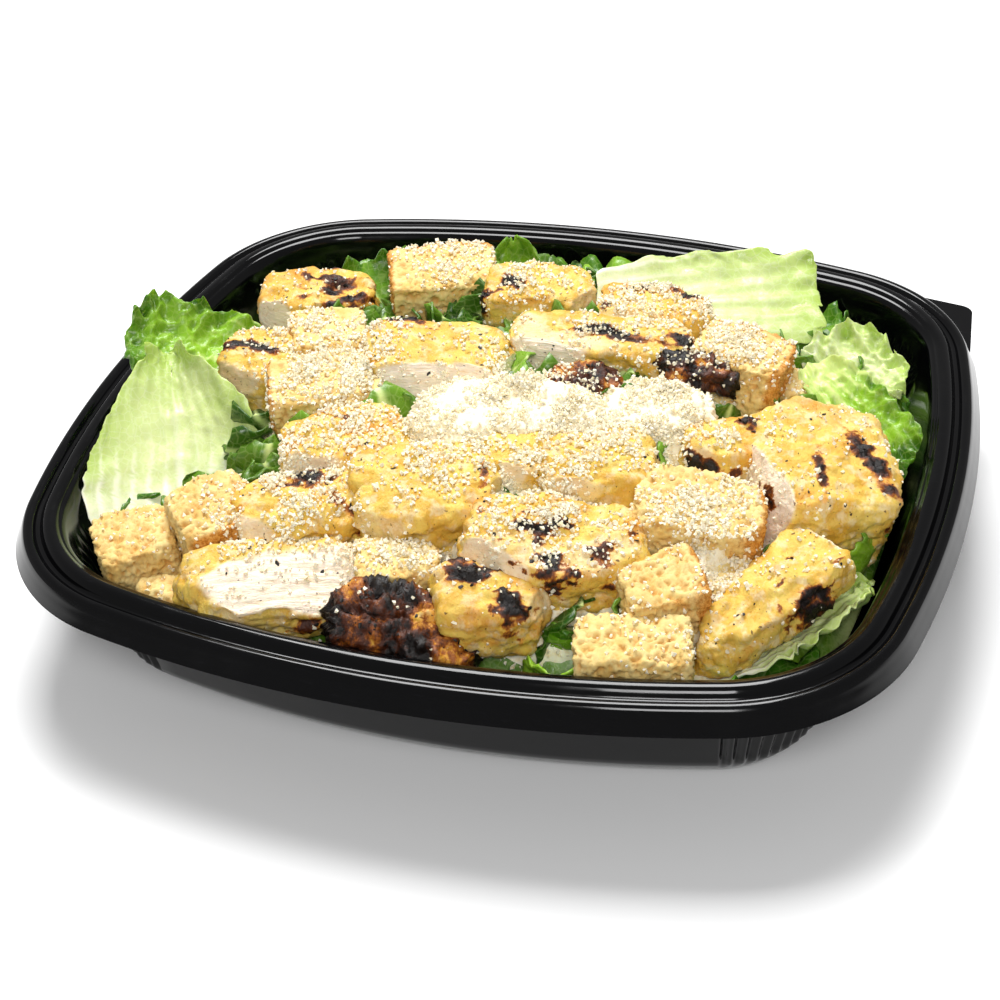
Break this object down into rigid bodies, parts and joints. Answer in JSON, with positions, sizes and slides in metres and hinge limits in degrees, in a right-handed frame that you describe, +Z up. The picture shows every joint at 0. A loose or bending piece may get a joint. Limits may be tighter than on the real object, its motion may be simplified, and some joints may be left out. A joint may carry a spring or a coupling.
{
  "type": "chicken caesar salad in a deli bowl",
  "caption": "Grilled chicken caesar salad with croutons, lettuce and grated cheese, heaped in a shallow rounded-square black plastic deli bowl with a stepped rim and a corner pull tab.",
  "frame": {"origin": "middle of the bowl's flat foot, on the surface it stands on", "axes": "+Z up; +X along the bowl's longer side, towards the side of the pull tab; -Y towards the front of the heap, with the most chicken"},
  "size_m": [0.2314, 0.2134, 0.0662],
  "materials": {
    "black_plastic": "glossy black thermoformed PET, fine scratches on the skirt",
    "toasted_bread": "toasted bread, open pale crumb and golden brown crust, matt",
    "grated_cheese": "finely grated hard cheese, matt cream",
    "grilled_chicken": "grilled chicken breast, yellow marinated skin, pale fibrous cut faces, damp sheen",
    "charred_chicken": "charred chicken, black to red-brown, glossy in places",
    "green_lettuce": "fresh green lettuce, crinkled, damp sheen",
    "pale_lettuce": "pale inner lettuce leaf, ribbed, slightly see-through"
  },
  "bodies": {
    "root": {"bowl": "black_plastic", "lettuce_heap": "green_lettuce", "leaf_pale_left": "pale_lettuce", "leaf_bright_left": "green_lettuce", "leaf_pleated_back": "pale_lettuce", "leaf_rib_right": "green_lettuce", "leaf_frill_right": "pale_lettuce", "leaf_clear_front": "pale_lettuce", "chicken_01": "grilled_chicken", "chicken_02": "grilled_chicken", "chicken_03": "grilled_chicken", "chicken_04": "grilled_chicken", "chicken_05": "grilled_chicken", "chicken_06": "grilled_chicken", "chicken_07": "charred_chicken", "chicken_08": "charred_chicken", "chicken_09": "grilled_chicken", "chicken_10": "grilled_chicken", "chicken_11": "grilled_chicken", "chicken_12": "grilled_chicken", "chicken_13": "grilled_chicken", "chicken_14": "grilled_chicken", "chicken_15": "grilled_chicken", "chicken_16": "charred_chicken", "chicken_17": "grilled_chicken", "chicken_18": "grilled_chicken", "chicken_19": "grilled_chicken", "chicken_20": "grilled_chicken", "crouton_01": "toasted_bread", "crouton_02": "toasted_bread", "crouton_03": "toasted_bread", "crouton_04": "toasted_bread", "crouton_05": "toasted_bread", "crouton_06": "toasted_bread", "crouton_07": "toasted_bread", "crouton_08": "toasted_bread", "crouton_09": "toasted_bread", "crouton_10": "toasted_bread", "crouton_11": "toasted_bread", "crouton_12": "toasted_bread", "crouton_13": "toasted_bread", "cheese_heap_1": "grated_cheese", "cheese_heap_2": "grated_cheese", "cheese_heap_3": "grated_cheese"}
  },
  "joints": []
}
